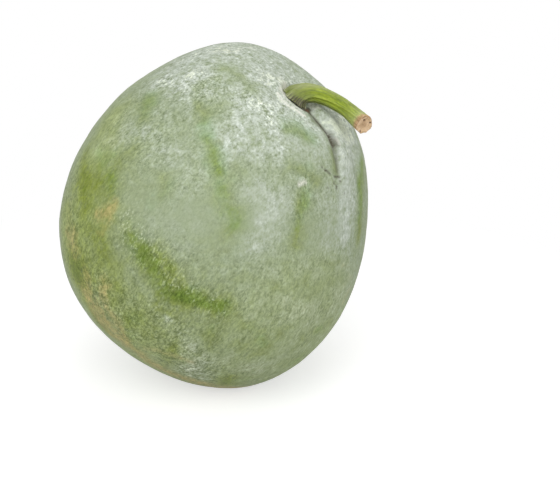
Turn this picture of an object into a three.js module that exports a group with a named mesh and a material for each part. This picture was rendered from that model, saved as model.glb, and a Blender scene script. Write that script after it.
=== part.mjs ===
// White pumpkin (wax gourd): one whole round fruit, as picked, with its curved stalk.
// Millimetres, +Z up. The fruit rests on its flattened belly at z = 0, and the origin lies under
// the middle of the whole object.
//
// The fruit is described in its growth frame: local Z is the stem axis, local X points down the
// long crease that starts at the stem, and the origin is the growth centre inside the flesh.
import * as THREE from "three";

// Body: a fat ellipsoid whose long axis leans away from the stem axis
const GIRTH_RADIUS = 125;
const HALF_LENGTH = 139.5;
const FULLNESS = 2.04; // exponent of the outline: 2 is an ellipse, more is boxier
const LONG_AXIS_LEAN = 34; // degrees from the stem axis, away from the crease

// How the fruit lies: heading and lean of the stem axis, and the crease's turn about it, degrees
const STEM_HEADING = -18;
const STEM_LEAN = 33;
const CREASE_TURN = -15;

// The shoulder that rings the stem, and broad swells of the skin: from the stem axis and round
// from the crease (degrees), spread (degrees), and height (mm)
const SHOULDER = { polar: 21.5, spread: 19.5, height: 9.2 };
const SWELLS = [
  { name: "high shoulder", polar: 30, round: 167.5, spread: 20.5, height: 4.6 },
  { name: "right shoulder", polar: 38.5, round: 83, spread: 32, height: 3.3 },
  { name: "right flank", polar: 48, round: 37, spread: 28, height: 1.9 },
  { name: "low flank", polar: 128, round: 230, spread: 20, height: 1.2 },
  { name: "flat flank", polar: 76.5, round: 203, spread: 30, height: -4.3 },
  { name: "undercut", polar: 147.5, round: 307, spread: 34.5, height: -10.3 },
];

// Relief round the stem. Places on the skin are arc lengths from the stem axis: "down" runs
// along the crease and "across" runs to its right.
const ARC_RADIUS = 135; // mm of skin for each radian
const CAVITY = { depth: 3.2, radius: 22 };
const SEAT = { down: 2, across: -6, radius: 12.5, blend: 5, height: 135.4 };
const CREASE = { start: 15, end: 88, depth: 3, across: 7.2, slant: -0.277, leftWidth: 6, rightWidth: 2.6 };
const CREASE_HOOK = { across: -5, reach: 9 }; // how the crease bends in to the stalk's foot
const LOBE = { offset: 9, width: 7, height: 1.6 }; // the roll of skin on the crease's right
const FURROW = { from: [60, 17], to: [92, 21], depth: 1.3, leftWidth: 6, rightWidth: 3 };
const LIP = { radius: 21.5, innerWidth: 6, outerWidth: 2, height: 1.7, from: -185, to: -18, fade: 32 };
const BLOSSOM_SCAR = { radius: 13, depth: 3 };

// Belly: the fruit's weight has flattened it where it lies
const BELLY_DROP = 128.6; // from the growth centre down to the resting face
const BELLY_BLEND = 1.2;

// Stalk
const STALK = { footRadius: 10.5, midRadius: 6.2, endRadius: 7.2, flareLength: 3.6, swellStart: 0.7 };
const STALK_RIDGES = 7;
const STALK_RIDGE_DEPTH = 0.09; // share of the radius
const STALK_GAP = 0.3; // between the stalk's foot and its seat
const STALK_END_ROUNDING = 0.9; // radius of the dried end face over the radius behind it
const STALK_CUT = { slope: 0.45, start: 0.8, shortSide: [0, -0.93, 0.36] }; // the slanting end cut
// Middle line from the seat outwards: down the crease, across it, and out along the stem axis
const STALK_PATH = [
  [2, -6, 0],
  [2.1, -5.4, 3],
  [4, -2, 7.5],
  [8.5, 2, 11],
  [14.5, 5, 13.2],
  [23, 9, 14.6],
  [32.7, 12.6, 15],
  [42.8, 16, 14],
  [51.2, 15.9, 14.2],
];

// Mesh fineness
const FRUIT_RINGS = 50;
const FRUIT_MERIDIANS = 72;
const RING_CROWDING = 1.35; // over 1 crowds the rings towards the stem
const STALK_RINGS = 22;
const STALK_FACETS = 35;

const rad = THREE.MathUtils.degToRad;
const bell = (x, width) => Math.exp(-((x / width) ** 2));
const step = THREE.MathUtils.smoothstep; // (x, low, high)

function direction(polar, round) {
  const beside = Math.sin(rad(polar));
  const height = Math.cos(rad(polar));
  return new THREE.Vector3(beside * Math.cos(rad(round)), beside * Math.sin(rad(round)), height);
}

const STEM_AXIS = direction(0, 0);
const LONG_AXIS = direction(-LONG_AXIS_LEAN, 0);
const SWELL_CENTRES = SWELLS.map((swell) => direction(swell.polar, swell.round));

// Distance from the growth centre to the smooth skin along a unit direction
function bodyRadius(way) {
  const along = Math.abs(way.dot(LONG_AXIS));
  const beside = Math.sqrt(Math.max(0, 1 - along * along));
  const size = (beside / GIRTH_RADIUS) ** FULLNESS + (along / HALF_LENGTH) ** FULLNESS;
  let radius = size ** (-1 / FULLNESS);
  radius += SHOULDER.height * bell(way.angleTo(STEM_AXIS) - rad(SHOULDER.polar), rad(SHOULDER.spread));
  SWELLS.forEach((swell, i) => {
    radius += swell.height * bell(way.angleTo(SWELL_CENTRES[i]), rad(swell.spread));
  });
  return radius;
}

// A dip that is 1 deep at its floor and slopes up over one width on each side
const dip = (side, leftWidth, rightWidth) => bell(side, side < 0 ? leftWidth : rightWidth);

// The long crease, from the stem down towards the flank: a gentle slope on its left, and a steep
// roll of skin on its right
function creaseRelief(down, across) {
  const hook = CREASE_HOOK.across * bell(down - CREASE.start, CREASE_HOOK.reach);
  const side = across - CREASE.across - CREASE.slant * down - hook;
  const rise = step(down, CREASE.start - 10, CREASE.start);
  const fade = rise * (1 - step(down, CREASE.end - 48, CREASE.end));
  const valley = -CREASE.depth * dip(side, CREASE.leftWidth, CREASE.rightWidth);
  return fade * (valley + LOBE.height * bell(side - LOBE.offset, LOBE.width));
}

// A second, shallower furrow to the right of the crease
function furrowRelief(down, across) {
  const [x0, y0] = FURROW.from;
  const [x1, y1] = FURROW.to;
  const length = Math.hypot(x1 - x0, y1 - y0);
  const along = ((down - x0) * (x1 - x0) + (across - y0) * (y1 - y0)) / length;
  const side = ((down - x0) * (y0 - y1) + (across - y0) * (x1 - x0)) / length;
  const fade = step(along, -12, 10) * (1 - step(along, length - 10, length + 14));
  return -FURROW.depth * fade * dip(side, FURROW.leftWidth, FURROW.rightWidth);
}

// The puckered lip round the left of the stem's foot
function lipRelief(down, across) {
  const [x, y] = [down - SEAT.down, across - SEAT.across];
  const round = THREE.MathUtils.radToDeg(Math.atan2(y, x));
  const turn = THREE.MathUtils.euclideanModulo(round + 270, 360) - 270;
  const ring = dip(Math.hypot(x, y) - LIP.radius, LIP.innerWidth, LIP.outerWidth);
  const rise = step(turn, LIP.from, LIP.from + LIP.fade);
  return LIP.height * ring * rise * (1 - step(turn, LIP.to - LIP.fade, LIP.to));
}

// A point of the fruit's skin in the growth frame
function skinPoint(way) {
  const polar = Math.acos(THREE.MathUtils.clamp(way.z, -1, 1));
  const round = Math.atan2(way.y, way.x);
  const down = ARC_RADIUS * polar * Math.cos(round);
  const across = ARC_RADIUS * polar * Math.sin(round);
  const relief = creaseRelief(down, across) + furrowRelief(down, across) + lipRelief(down, across);
  const point = way.clone().multiplyScalar(bodyRadius(way) + relief);
  const beside = Math.hypot(point.x, point.y);
  if (point.z > 0) {
    point.z -= CAVITY.depth * bell(beside, CAVITY.radius);
    const fromSeat = Math.hypot(point.x - SEAT.down, point.y - SEAT.across);
    const offSeat = step(fromSeat, SEAT.radius, SEAT.radius + SEAT.blend);
    point.z = THREE.MathUtils.lerp(SEAT.height, point.z, offSeat);
  } else {
    point.z += BLOSSOM_SCAR.depth * bell(beside, BLOSSOM_SCAR.radius);
  }
  return point;
}

// Height above the resting face, with everything below it pressed flat
function flattened(height) {
  if (height <= -BELLY_BLEND) return 0;
  if (height >= BELLY_BLEND) return height;
  return (height + BELLY_BLEND) ** 2 / (4 * BELLY_BLEND);
}

function pose() {
  const up = new THREE.Vector3(0, 0, 1);
  const side = new THREE.Vector3(0, 1, 0);
  const turn = (axis, degrees) => new THREE.Quaternion().setFromAxisAngle(axis, rad(degrees));
  return turn(up, STEM_HEADING).multiply(turn(side, STEM_LEAN)).multiply(turn(up, CREASE_TURN));
}

function fruitGeometry(growth) {
  const profile = [];
  for (let i = 0; i <= FRUIT_RINGS; i++) {
    const polar = Math.PI * (i / FRUIT_RINGS) ** RING_CROWDING;
    const onAxis = i === 0 || i === FRUIT_RINGS;
    profile.push(new THREE.Vector2(onAxis ? 0 : Math.sin(polar), Math.cos(polar)));
  }
  // A lathe turns about Y, so its axis is laid along Z. The profile runs up to the stem, so
  // that the faces point out.
  const geometry = new THREE.LatheGeometry(profile.reverse(), FRUIT_MERIDIANS).rotateX(Math.PI / 2);
  const places = geometry.getAttribute("position");
  for (let i = 0; i < places.count; i++) {
    const way = new THREE.Vector3().fromBufferAttribute(places, i).normalize();
    const point = skinPoint(way).applyQuaternion(growth);
    places.setXYZ(i, point.x, point.y, flattened(point.z + BELLY_DROP));
  }
  geometry.computeVertexNormals();
  return geometry;
}

function stalkRadius(share, length) {
  const flare = (STALK.footRadius - STALK.midRadius) * Math.exp(-(share * length) / STALK.flareLength);
  const swell = (STALK.endRadius - STALK.midRadius) * step(share, STALK.swellStart, 1);
  const ending = share === 1 ? STALK_END_ROUNDING : 1;
  return ending * (STALK.midRadius + flare + swell);
}

function stalkGeometry() {
  const points = STALK_PATH.map(([x, y, z]) => new THREE.Vector3(x, y, SEAT.height + STALK_GAP + z));
  const path = new THREE.CatmullRomCurve3(points);
  const length = path.getLength();
  const frames = path.computeFrenetFrames(STALK_RINGS, false);
  const shortSide = new THREE.Vector3(...STALK_CUT.shortSide);
  const profile = [new THREE.Vector2(0, 0)];
  for (let i = 0; i <= STALK_RINGS; i++) {
    profile.push(new THREE.Vector2(stalkRadius(i / STALK_RINGS, length), i));
  }
  profile.push(new THREE.Vector2(0, STALK_RINGS));
  const geometry = new THREE.LatheGeometry(profile, STALK_FACETS);
  const places = geometry.getAttribute("position");
  for (let i = 0; i < places.count; i++) {
    const station = Math.round(places.getY(i));
    const middle = path.getPointAt(station / STALK_RINGS);
    const round = Math.atan2(places.getZ(i), places.getX(i));
    const ridge = 1 + STALK_RIDGE_DEPTH * Math.cos(STALK_RIDGES * round);
    const out = frames.normals[station].clone().multiplyScalar(ridge * places.getX(i));
    out.addScaledVector(frames.binormals[station], -ridge * places.getZ(i));
    const cut = STALK_CUT.slope * step(station / STALK_RINGS, STALK_CUT.start, 1);
    const point = middle.add(out).addScaledVector(frames.tangents[station], -cut * out.dot(shortSide));
    places.setXYZ(i, point.x, point.y, Math.max(point.z, SEAT.height + STALK_GAP)); // a flat foot
  }
  geometry.computeVertexNormals();
  return geometry;
}

const rindFinish = new THREE.MeshStandardMaterial({ color: 0xa9b99e, roughness: 0.72, metalness: 0 });
const stalkFinish = new THREE.MeshStandardMaterial({ color: 0x87973a, roughness: 0.65, metalness: 0 });

const growth = pose();
const fruit = new THREE.Mesh(fruitGeometry(growth), rindFinish);
fruit.name = "fruit";

const stem = new THREE.Mesh(stalkGeometry(), stalkFinish);
stem.name = "stem";
stem.position.z = BELLY_DROP;
stem.quaternion.copy(growth);

const pumpkin = new THREE.Group();
pumpkin.add(fruit, stem);
const middle = new THREE.Box3().setFromObject(pumpkin, true).getCenter(new THREE.Vector3());
pumpkin.position.set(-middle.x, -middle.y, 0);

export default pumpkin;
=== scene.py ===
"""White pumpkin (wax gourd): one whole round fruit with its curved stalk, finished for rendering.

Lengths in the shape code are millimetres in the fruit's growth frame: local Z is the stem axis,
local X points down the long crease, and the origin is the growth centre inside the flesh. Meshes
are written in metres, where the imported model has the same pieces.
"""

import math

import bmesh
import bpy
import numpy as np
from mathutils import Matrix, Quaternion, Vector, noise


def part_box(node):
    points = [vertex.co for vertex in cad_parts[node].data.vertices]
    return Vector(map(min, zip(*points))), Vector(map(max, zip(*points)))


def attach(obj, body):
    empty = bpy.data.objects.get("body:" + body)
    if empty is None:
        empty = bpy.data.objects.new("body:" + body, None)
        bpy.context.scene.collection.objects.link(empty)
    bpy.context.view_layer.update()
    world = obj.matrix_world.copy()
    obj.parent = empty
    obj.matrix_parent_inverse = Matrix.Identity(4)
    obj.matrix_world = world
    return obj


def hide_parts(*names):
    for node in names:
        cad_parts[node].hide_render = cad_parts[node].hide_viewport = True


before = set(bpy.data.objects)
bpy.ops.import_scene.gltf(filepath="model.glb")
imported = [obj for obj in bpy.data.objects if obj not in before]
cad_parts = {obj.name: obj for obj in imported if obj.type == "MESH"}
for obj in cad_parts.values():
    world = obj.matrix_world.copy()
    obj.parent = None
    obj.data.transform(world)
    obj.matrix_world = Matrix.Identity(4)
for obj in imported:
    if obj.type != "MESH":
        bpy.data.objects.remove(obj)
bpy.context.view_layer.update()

bl_info = {
    "name": "White Pumpkin",
    "version": (1, 0, 0),
    "blender": (4, 5, 0),
    "location": "View3D > Sidebar > Pumpkin",
    "description": "Builds a whole wax gourd with a bloomed rind, a creased shoulder and a curved stalk",
    "category": "Add Mesh",
}

MM = 0.001
SKIN_SEED = 3  # fixes the drift of noise_vector, which otherwise follows the clock
noise.seed_set(SKIN_SEED)

# --- Shape of the fruit, the same as the solid model's ---

# How the fruit lies: heading and lean of the stem axis, and the crease's turn about it, degrees
STEM_HEADING = -18
STEM_LEAN = 33
CREASE_TURN = -15

GIRTH_RADIUS = 125
HALF_LENGTH = 139.5
FULLNESS = 2.04
LONG_AXIS_LEAN = 34

SHOULDER = {"polar": 21.5, "spread": 19.5, "height": 9.2}
# Swells and hollows as (name, polar and round of the middle, spread, all degrees, height mm)
SWELLS = (
    ("high shoulder", 30, 167.5, 20.5, 4.6),
    ("right shoulder", 38.5, 83, 32, 3.3),
    ("right flank", 48, 37, 28, 1.9),
    ("low flank", 128, 230, 20, 1.2),
    ("flat flank", 76.5, 203, 30, -4.3),
    ("undercut", 147.5, 307, 34.5, -10.3),
)
ARC_RADIUS = 135
CAVITY = {"depth": 3.2, "radius": 22}
SEAT = {"down": 2, "across": -6, "radius": 12.5, "blend": 5, "height": 135.4}
CREASE = {
    "start": 15, "rise": 10, "end": 88, "fade": 48, "depth": 3,
    "across": 7.2, "slant": -0.277, "left_width": 6, "right_width": 2.6,
}
CREASE_HOOK = {"across": -5, "reach": 9}  # how the crease bends in to the stalk's foot
LOBE = {"offset": 9, "width": 7, "height": 1.6}  # the roll of skin on the crease's right
FURROW = {
    "start": (60, 17), "rises": (-12, 10), "end": (92, 21), "fades": (-10, 14),
    "depth": 1.3, "left_width": 6, "right_width": 3,
}
LIP = {
    "radius": 21.5, "inner_width": 6, "outer_width": 2, "height": 1.7, "from": -185, "to": -18, "fade": 32,
}
BLOSSOM_SCAR = {"radius": 13, "depth": 3}
BELLY_DROP = 128.6
BELLY_BLEND = 1.2


def bell(x, width):
    """1 at zero, falling smoothly away on both sides."""
    return np.exp(-((x / width) ** 2))


def step(x, low, high):
    """0 up to the low value, 1 from the high value, and smooth between them."""
    t = np.clip((x - low) / (high - low), 0, 1)
    return t * t * (3 - 2 * t)


def direction(polar, around):
    """The unit direction at an angle from the stem axis and round from the crease, degrees."""
    p, a = np.radians(polar), np.radians(around)
    return np.stack([np.sin(p) * np.cos(a), np.sin(p) * np.sin(a), np.cos(p)], -1)


def angle_to(ways, centre):
    """Degrees between each direction and one direction."""
    return np.degrees(np.arccos(np.clip(ways @ centre, -1, 1)))


def skin_map(ways):
    """Arc lengths from the stem axis: down along the crease and across to its right (mm)."""
    polar = np.arccos(np.clip(ways[:, 2], -1, 1))
    around = np.arctan2(ways[:, 1], ways[:, 0])
    return ARC_RADIUS * polar * np.cos(around), ARC_RADIUS * polar * np.sin(around)


def body_radius(ways):
    """The body's radius, with its shoulder and swells (mm)."""
    along = np.abs(ways @ direction(-LONG_AXIS_LEAN, 0))
    beside = np.sqrt(np.maximum(0, 1 - along**2))
    size = (beside / GIRTH_RADIUS) ** FULLNESS + (along / HALF_LENGTH) ** FULLNESS
    radius = size ** (-1 / FULLNESS)
    from_stem = angle_to(ways, direction(0, 0))
    radius += SHOULDER["height"] * bell(from_stem - SHOULDER["polar"], SHOULDER["spread"])
    for _, polar, around, spread, height in SWELLS:
        radius += height * bell(angle_to(ways, direction(polar, around)), spread)
    return radius


def dip(side, left_width, right_width):
    """1 at the floor of a dip, sloping to 0 over one width on each side."""
    return bell(side, np.where(side < 0, left_width, right_width))


def crease_relief(down, across):
    hook = CREASE_HOOK["across"] * bell(down - CREASE["start"], CREASE_HOOK["reach"])
    side = across - CREASE["across"] - CREASE["slant"] * down - hook
    rise = step(down, CREASE["start"] - CREASE["rise"], CREASE["start"])
    fade = rise * (1 - step(down, CREASE["end"] - CREASE["fade"], CREASE["end"]))
    valley = -CREASE["depth"] * dip(side, CREASE["left_width"], CREASE["right_width"])
    return fade * (valley + LOBE["height"] * bell(side - LOBE["offset"], LOBE["width"]))


def furrow_relief(down, across):
    start, end = np.array(FURROW["start"], float), np.array(FURROW["end"], float)
    length = np.linalg.norm(end - start)
    way = (end - start) / length
    along = (down - start[0]) * way[0] + (across - start[1]) * way[1]
    side = (across - start[1]) * way[0] - (down - start[0]) * way[1]
    fade = step(along, *FURROW["rises"]) * (1 - step(along - length, *FURROW["fades"]))
    return -FURROW["depth"] * fade * dip(side, FURROW["left_width"], FURROW["right_width"])


def lip_relief(down, across):
    x, y = down - SEAT["down"], across - SEAT["across"]
    turn = (np.degrees(np.arctan2(y, x)) + 270) % 360 - 270
    ring = dip(np.hypot(x, y) - LIP["radius"], LIP["inner_width"], LIP["outer_width"])
    rise = step(turn, LIP["from"], LIP["from"] + LIP["fade"])
    return LIP["height"] * ring * rise * (1 - step(turn, LIP["to"] - LIP["fade"], LIP["to"]))


def settle(ways, relief):
    """Skin points with the stem cavity, the flat seat and the blossom scar (growth frame, mm)."""
    points = ways * (body_radius(ways) + relief)[:, None]
    beside = np.hypot(points[:, 0], points[:, 1])
    above = points[:, 2] > 0
    points[:, 2] -= np.where(above, CAVITY["depth"] * bell(beside, CAVITY["radius"]), 0)
    from_seat = np.hypot(points[:, 0] - SEAT["down"], points[:, 1] - SEAT["across"])
    off_seat = step(from_seat, SEAT["radius"], SEAT["radius"] + SEAT["blend"])
    seated = SEAT["height"] + (points[:, 2] - SEAT["height"]) * off_seat
    points[:, 2] = np.where(above, seated, points[:, 2])
    points[:, 2] += np.where(above, 0, BLOSSOM_SCAR["depth"] * bell(beside, BLOSSOM_SCAR["radius"]))
    return points


def growth_turn():
    """The turn from the growth frame to the fruit as it lies."""
    up, side = Vector((0, 0, 1)), Vector((0, 1, 0))
    turn = Quaternion(up, math.radians(STEM_HEADING))
    turn = turn @ Quaternion(side, math.radians(STEM_LEAN))
    return turn @ Quaternion(up, math.radians(CREASE_TURN))


def lay_down(points):
    """Growth frame points turned as the fruit lies, with the belly pressed flat at zero."""
    laid = points @ np.array(growth_turn().to_matrix()).T
    height = laid[:, 2] + BELLY_DROP
    pressed = (height + BELLY_BLEND) ** 2 / (4 * BELLY_BLEND)
    pressed = np.where(height <= -BELLY_BLEND, 0, np.where(height >= BELLY_BLEND, height, pressed))
    laid[:, 2] = pressed
    return laid


def revolved(profile, steps, name):
    """A mesh turned about Z from (radius, height) points that start and end on the axis."""
    bm = bmesh.new()
    corners = [bm.verts.new((radius, 0, height)) for radius, height in profile]
    sides = [bm.edges.new(pair) for pair in zip(corners, corners[1:])]
    bmesh.ops.spin(
        bm, geom=corners + sides, cent=(0, 0, 0), axis=(0, 0, 1),
        angle=math.tau, steps=steps, use_merge=True,
    )
    bmesh.ops.remove_doubles(bm, verts=bm.verts, dist=1e-6)
    bmesh.ops.recalc_face_normals(bm, faces=bm.faces)
    mesh = bpy.data.meshes.new(name)
    bm.to_mesh(mesh)
    bm.free()
    return mesh


def coordinates(mesh):
    co = np.empty(len(mesh.vertices) * 3, np.float32)
    mesh.vertices.foreach_get("co", co)
    return co.reshape(-1, 3).astype(float)


def move_to(mesh, points):
    mesh.vertices.foreach_set("co", points.astype(np.float32).ravel())
    mesh.update()


# --- Fine relief of the skin ---

FRUIT_RINGS = 200
FRUIT_MERIDIANS = 480
RING_CROWDING = 1.5  # over 1 crowds the rings towards the stem

CREASE_BEND = ((11.4, 341), (14.1, 347.2), (16.8, 353), (20.4, 354))
# Grooves, and rolls with a depth below zero, as (name, path, half width mm, depth mm)
GROOVES = (
    ("crease slit", ((7.7, 338), *CREASE_BEND, (24, 353)), 2.2, 0.95),
    ("branch's upper lip", ((18.7, 357), (20.7, 358.5)), 1.5, -0.5),
    ("crease tail", ((20.4, 354), (24, 352.5), (29.4, 349.7)), 3.0, 0.6),
    ("furrow line", ((26.5, 13), (29.7, 12), (38, 8)), 1.4, 0.6),
    ("under the lip", ((13.6, 272), (13.5, 286), (13.2, 298), (12.7, 310)), 1.4, 0.4),
    ("roll by the crease", ((6.4, 24), (8.8, 16), (11, 12)), 4.0, -1.2),
)
# Grooves and pits with dirt in them, and the recess round the stalk's foot with painted shade in it: the
# same, then the half width (mm) and strength of that darkening
GROOVES_WITH_DIRT_AND_SHADE = (
    # painted shade in the recess between the lip and the stalk's foot
    ("recess", ((7, 257), (7.5, 276), (7.5, 296), (7.1, 316), (6.3, 336), (5.5, 351)), 2.2, 1.2, 3.0, 1.0),
    # dirt and painted shade in a small fold off the crease
    ("crease branch", ((18.2, 356.1), (19.5, 356.6), (21.1, 357)), 1.1, 0.8, 1.2, 0.6),
    ("short dash", ((14, 12), (20.5, 10.5)), 1.0, 0.3, 0.8, 0.2),
    ("outer dash", ((22, 43), (23.5, 30)), 1.0, 0.3, 0.8, 0.3),
    ("upper dash, left", ((29.6, 336), (30.4, 341)), 1.0, 0.3, 1.1, 0.8),
    ("upper dash, right", ((31.3, 345.5), (31.3, 351)), 1.1, 0.4, 1.2, 0.8),
    ("left pit", ((28.7, 333.3),), 1.3, 0.4, 1.3, 0.75),
    ("middle pit", ((34.3, 347.4),), 1.6, 0.5, 1.6, 0.95),
    ("lower pit", ((33.1, 344.7),), 1.4, 0.45, 1.4, 0.85),
    ("lowest pit", ((36.8, 354.9),), 1.2, 0.35, 1.2, 0.7),
    ("pit beside", ((34.8, 340.3),), 1.2, 0.35, 1.2, 0.65),
    ("outer pit", ((32.7, 351.2),), 1.2, 0.4, 1.3, 0.75),
)
PUCKERS = {"count": 26, "height": 0.12, "width": 4.5}  # small folds round the stem's seat
LUMP_SIZES = ((46, 0.55), (15, 0.2), (6, 0.09))  # size and depth of the skin's unevenness, mm
LUMPS_START = 12  # how far beyond the stem's seat the unevenness has its full depth, mm
# How the edges of marks waver, as (size of the waves mm, how far they reach mm)
CRISP_WAVES = (9, 0.9)
LOOSE_WAVES = ((30, 5), (8, 3))


def skin_distance(ways, path):
    """Distance over the skin (mm) from each direction to a path of (polar, round) points."""
    corners = [direction(*point) for point in path]
    if len(corners) == 1:
        corners *= 2
    nearest = np.full(len(ways), np.inf)
    for start, end in zip(corners, corners[1:]):
        reach = end - start
        along = np.clip((ways - start) @ reach / max(reach @ reach, 1e-12), 0, 1)
        spot = start + along[:, None] * reach
        spot /= np.linalg.norm(spot, axis=1, keepdims=True)
        nearest = np.minimum(nearest, np.linalg.norm(ways - spot, axis=1))
    return nearest * ARC_RADIUS


def uneven(ways, size, octaves, seed):
    """Smooth noise over the skin, about -1 to 1, with lumps of about that size (mm)."""
    scale = ARC_RADIUS / size
    shift = Vector((seed, -seed, 2 * seed))
    return np.array([noise.fractal(Vector(way) * scale + shift, 1.0, 2.0, octaves) for way in ways])


def ragged(ways, size, reach):
    """Directions moved sideways by noise, so that what is drawn along them gets uneven edges."""
    scale = ARC_RADIUS / size
    drift = np.array([noise.noise_vector(Vector(way) * scale) for way in ways])
    moved = ways + drift * (reach / ARC_RADIUS)
    return moved / np.linalg.norm(moved, axis=1, keepdims=True)


def fine_relief(ways):
    """Grooves, rolls, pits, puckers and slow lumps on top of the solid's own relief (mm)."""
    crisp = ragged(ways, *CRISP_WAVES)
    relief = np.zeros(len(ways))
    for _, path, width, depth, *_ in GROOVES + GROOVES_WITH_DIRT_AND_SHADE:
        relief -= depth * bell(skin_distance(crisp, path), width)
    down, across = skin_map(ways)
    x, y = down - SEAT["down"], across - SEAT["across"]
    from_seat, turn = np.hypot(x, y), np.arctan2(y, x)
    folds = np.cos(PUCKERS["count"] * turn + 1.5 * np.sin(3 * turn)) - 1
    relief += PUCKERS["height"] * folds * bell(from_seat - LIP["radius"], PUCKERS["width"])
    away = step(from_seat, SEAT["radius"], SEAT["radius"] + LUMPS_START)
    for seed, (size, depth) in enumerate(LUMP_SIZES):
        relief += away * depth * (uneven(ways, size, 2, seed) - 1)
    return relief


# --- Where the bloom is rubbed off, thick or stained, and where dirt and painted shade darken it ---

# Marks as (name, path of (polar, round) degrees, half width mm, strength)

# Thicker wax above zero and rubbed off below it: where marks meet, they add up. Under the stem the added
# wax is partly painted light, lifting the stalk's shadow on the skin
BLOOM = (
    ("crown", ((8, 190), (26, 182)), 52, 0.4),
    ("round the stem", ((13, 225), (13, 262), (14, 300), (14, 325)), 10, 0.22),
    ("shoulder", ((30, 200), (41, 208), (46, 218)), 15, 0.25),
    ("front", ((31, 270), (28, 290)), 27, 0.3),
    ("middle", ((43, 302), (47, 310), (60, 307)), 16, 0.25),
    ("right side", ((20, 25), (30, 2), (52, 356)), 17, 0.38),
    # paler skin under the stalk, partly painted light over the stalk's cast shadow
    ("under the stem", ((14, 10), (18, 26), (16, 49)), 12, 0.5),
    ("left of the crease", ((16, 322), (20, 332), (28, 331)), 9, 0.12),
    ("over the crease", ((24, 358), (32, 354)), 7, 0.2),
    ("left side", ((90, 235), (80, 240)), 40, -0.12),
    ("left face", ((54, 260), (58, 242), (70, 233), (80, 231)), 11, 0.2),
    ("below", ((105, 262), (98, 285), (92, 305)), 42, -0.22),
    ("low front", ((106, 309), (114, 317), (123, 322)), 13, 0.32),
    ("foot of the left side", ((113, 250), (124, 258), (127, 274), (130, 290)), 14, -0.28),
    ("crown streak", ((29, 226), (25, 227), (20, 238), (19, 251)), 6, -0.3),
    ("beside the stem", ((22, 298), (20, 305), (20, 314)), 6, -0.48),
    ("scuff", ((22, 264), (23, 273), (24, 284)), 4, 0.22),
    ("left of the foot", ((5, 180), (6, 207), (8, 222)), 7, 0.45),
    ("crown powder", ((46, 219), (41, 228), (34, 242)), 6, 0.25),
    ("crown spot", ((37, 222), (32, 227)), 6, 0.45),
    ("crown strokes", ((25, 262), (21, 268), (20, 280)), 4, 0.3),
    ("middle streak, top", ((35, 234), (37, 245), (39, 255)), 5, -0.3),
    ("middle streak", ((42, 264), (44, 273), (47, 280)), 5, -0.4),
    ("middle streak, foot", ((51, 289), (55, 297), (60, 300)), 13, -0.3),
    ("blue middle", ((38, 268), (38, 283)), 13, 0.1),
    ("cross patch", ((42, 287), (40, 294), (38, 300), (36, 307)), 8, -0.22),
    ("left crown", ((52, 225), (53, 233), (55, 238)), 7, -0.25),
    ("left column", ((55, 251), (60, 248), (68, 246)), 9, -0.17),
    ("cheek", ((74, 247), (77, 252)), 9, -0.22),
    ("cheek, middle", ((82, 243),), 15, -0.22),
    ("cheek, left", ((85, 236), (89, 240), (92, 246)), 8, -0.3),
    ("cheek, foot", ((95, 256), (96, 264)), 8, -0.18),
    ("far cheek", ((82, 224), (88, 232)), 9, -0.28),
    ("flecked band, top", ((84, 268), (84, 275)), 7, -0.3),
    ("flecked band, left", ((84, 280), (85, 287), (89, 292)), 12, -0.34),
    ("flecked band, right", ((89, 298), (87, 303), (86, 309)), 9, -0.36),
    ("below the band", ((99, 298), (98, 291)), 5, -0.15),
    ("flank smudge", ((61, 265), (64, 269)), 6, -0.18),
    ("right patch", ((33, 313), (33, 322), (35, 329)), 5, -0.25),
    ("right patch, foot", ((42, 323), (48, 324), (56, 327)), 8, -0.3),
    ("pale spot", ((36.3, 319), (35, 322.5)), 2.6, 0.3),
    ("beyond the patch", ((38, 339), (53, 341)), 8, 0.15),
    ("right strip", ((31, 24), (37, 15), (44, 13), (53, 12)), 8, -0.42),
    ("speck", ((101, 297),), 4, 0.35),
    ("lower dab", ((113, 286), (126, 287)), 7, -0.18),
    ("low stripe", ((112, 305), (123, 309), (135, 313)), 6, -0.25),
    ("bottom corner", ((118, 333), (124, 338)), 10, -0.4),
    ("front dab", ((98, 315), (104, 318)), 7, -0.15),
    ("far left edge", ((116, 256),), 14, -0.42),
    ("low left edge", ((132, 273),), 13, -0.46),
    ("between the scuffs", ((33, 256),), 9, -0.34),
    ("low pale", ((97, 286), (94, 276), (106, 281)), 6, 0.16),
    ("olive corner", ((109, 259), (115, 264)), 8, -0.12),
    ("olive shade", ((23, 348), (26, 345.5), (29, 345)), 5, -0.35),
)

# Greener skin
FRESH = (
    ("beside the stem", ((20, 294), (18, 304), (19, 318)), 9, 0.8),
    ("middle streak", ((40, 258), (44, 270), (47, 281)), 9, 0.8),
    ("middle streak, foot", ((50, 285), (53, 291), (57, 298)), 10, 0.8),
    ("left crown", ((51, 225), (53, 235)), 8, 0.6),
    ("right patch", ((33, 320), (42, 326), (48, 324)), 8, 0.6),
    ("cheek", ((74, 232), (75, 248)), 10, 0.6),
    ("flank", ((62, 270), (70, 269)), 7, 0.5),
    ("band", ((84, 270), (85, 281), (90, 291)), 11, 0.75),
    ("band, right", ((88, 297), (86, 310)), 9, 1.0),
    ("right strip", ((31, 24), (38, 14), (46, 12)), 9, 0.8),
    ("left column", ((70, 240), (74, 247), (77, 254)), 8, 0.5),
    ("low stripes", ((110, 286), (124, 290)), 8, 0.5),
)

# Yellower skin
YELLOWED = (
    ("left side", ((84, 236), (92, 246), (100, 250)), 36, 1.0),
    ("left shoulder", ((68, 222), (74, 236)), 22, 0.8),
    ("below", ((104, 262), (112, 280), (118, 300)), 34, 0.8),
    ("low left edge", ((104, 234), (116, 250), (126, 262)), 20, 1.2),
    ("blotch", ((84, 255), (94, 259)), 16, 1.0),
    ("bottom", ((135, 300), (150, 20)), 50, 0.7),
)

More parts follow.
